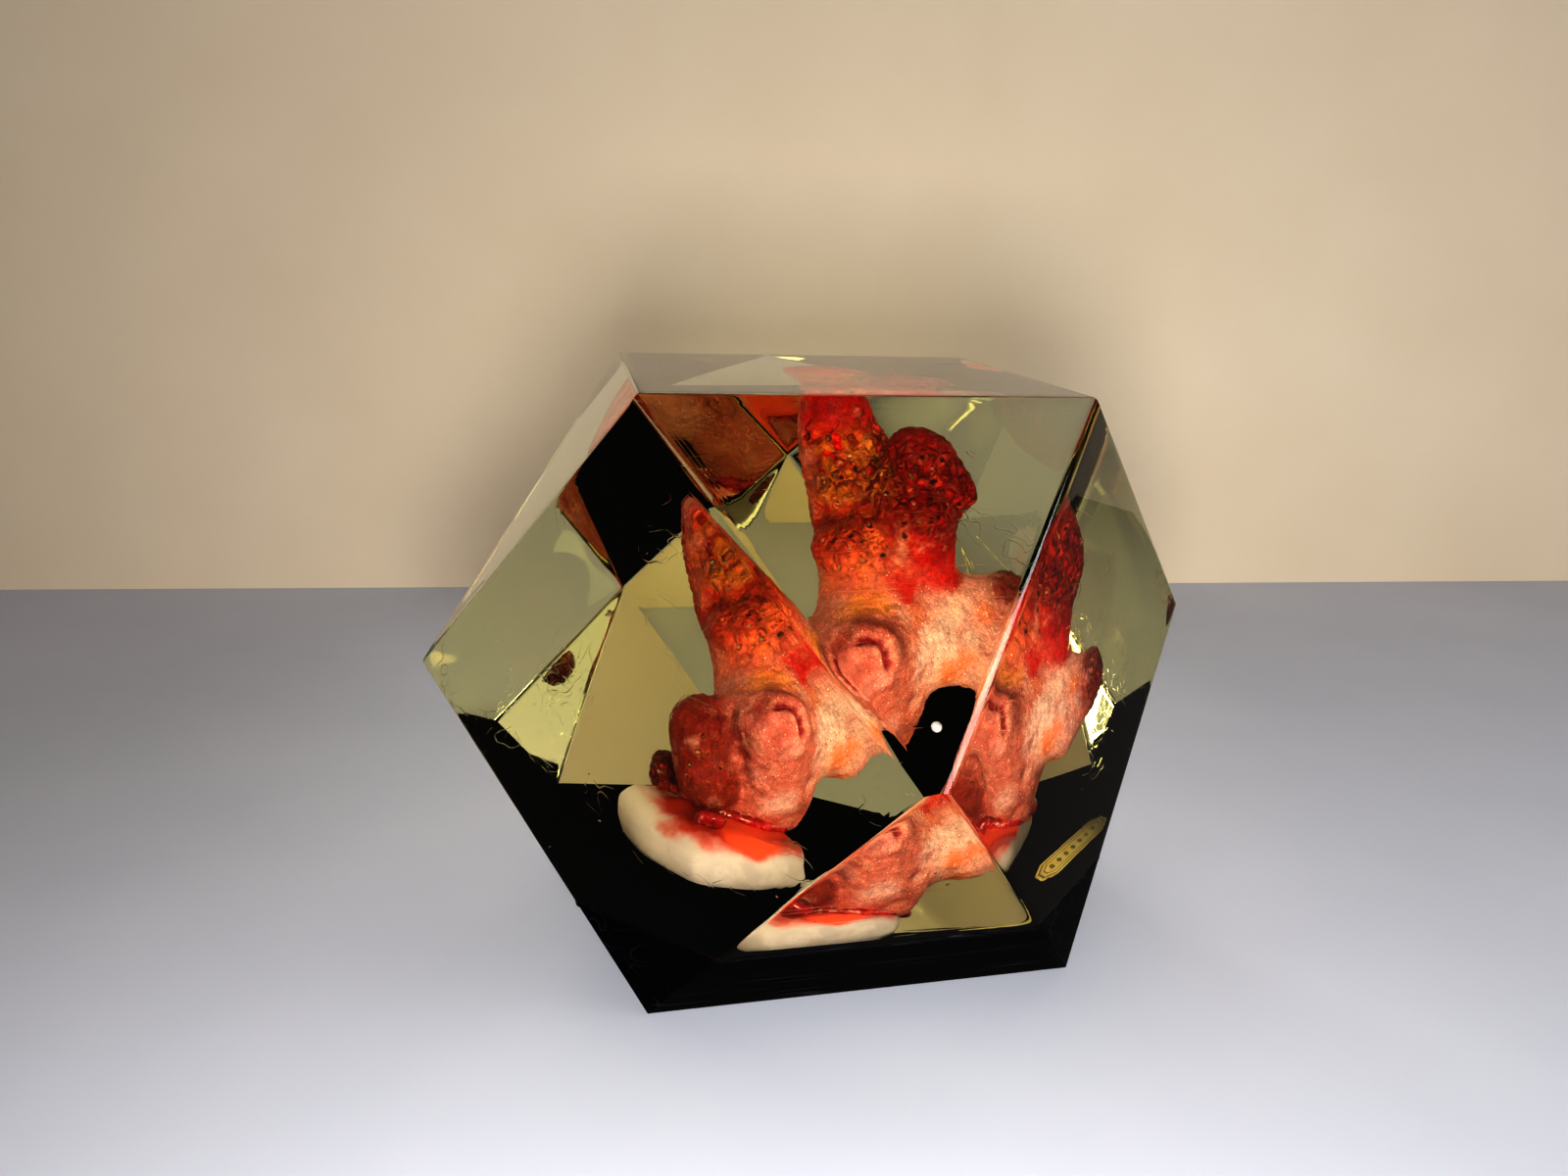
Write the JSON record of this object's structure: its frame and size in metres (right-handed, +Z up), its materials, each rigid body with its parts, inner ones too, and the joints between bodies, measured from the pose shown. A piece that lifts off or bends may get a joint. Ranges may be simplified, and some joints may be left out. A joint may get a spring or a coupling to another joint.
{
  "type": "coral in resin block",
  "caption": "Faceted clear resin block on a black resin layer, holding a red branching coral on its white plaster foot, with a plain gold foil label inside.",
  "frame": {"origin": "middle of the object's box, on the flat bottom face it rests on", "axes": "+Z up, +Y away from the front corner that points at the viewer, +X to the viewer's right"},
  "size_m": [0.0902, 0.0906, 0.0641],
  "materials": {
    "clear_resin": "polished clear casting resin with an olive-yellow tint and fine scratches",
    "black_resin": "polished black casting resin",
    "coral": "dyed coral, crimson pitted knobs fading through orange to grainy salmon pink",
    "plaster": "smooth ivory plaster with red dye bled into its top",
    "glue": "glossy translucent red glue",
    "gold_foil": "thin gold foil with a plain border and a row of plain dots"
  },
  "bodies": {
    "root": {"clear_resin_front": "clear_resin", "clear_resin_back": "clear_resin", "black_resin_base": "black_resin", "coral_trunk": "coral", "coral_tall_branch": "coral", "coral_knobbed_branch": "coral", "coral_right_arm": "coral", "coral_left_knob": "coral", "red_glue_pad": "glue", "white_foot": "plaster", "gold_label": "gold_foil"}
  },
  "joints": []
}
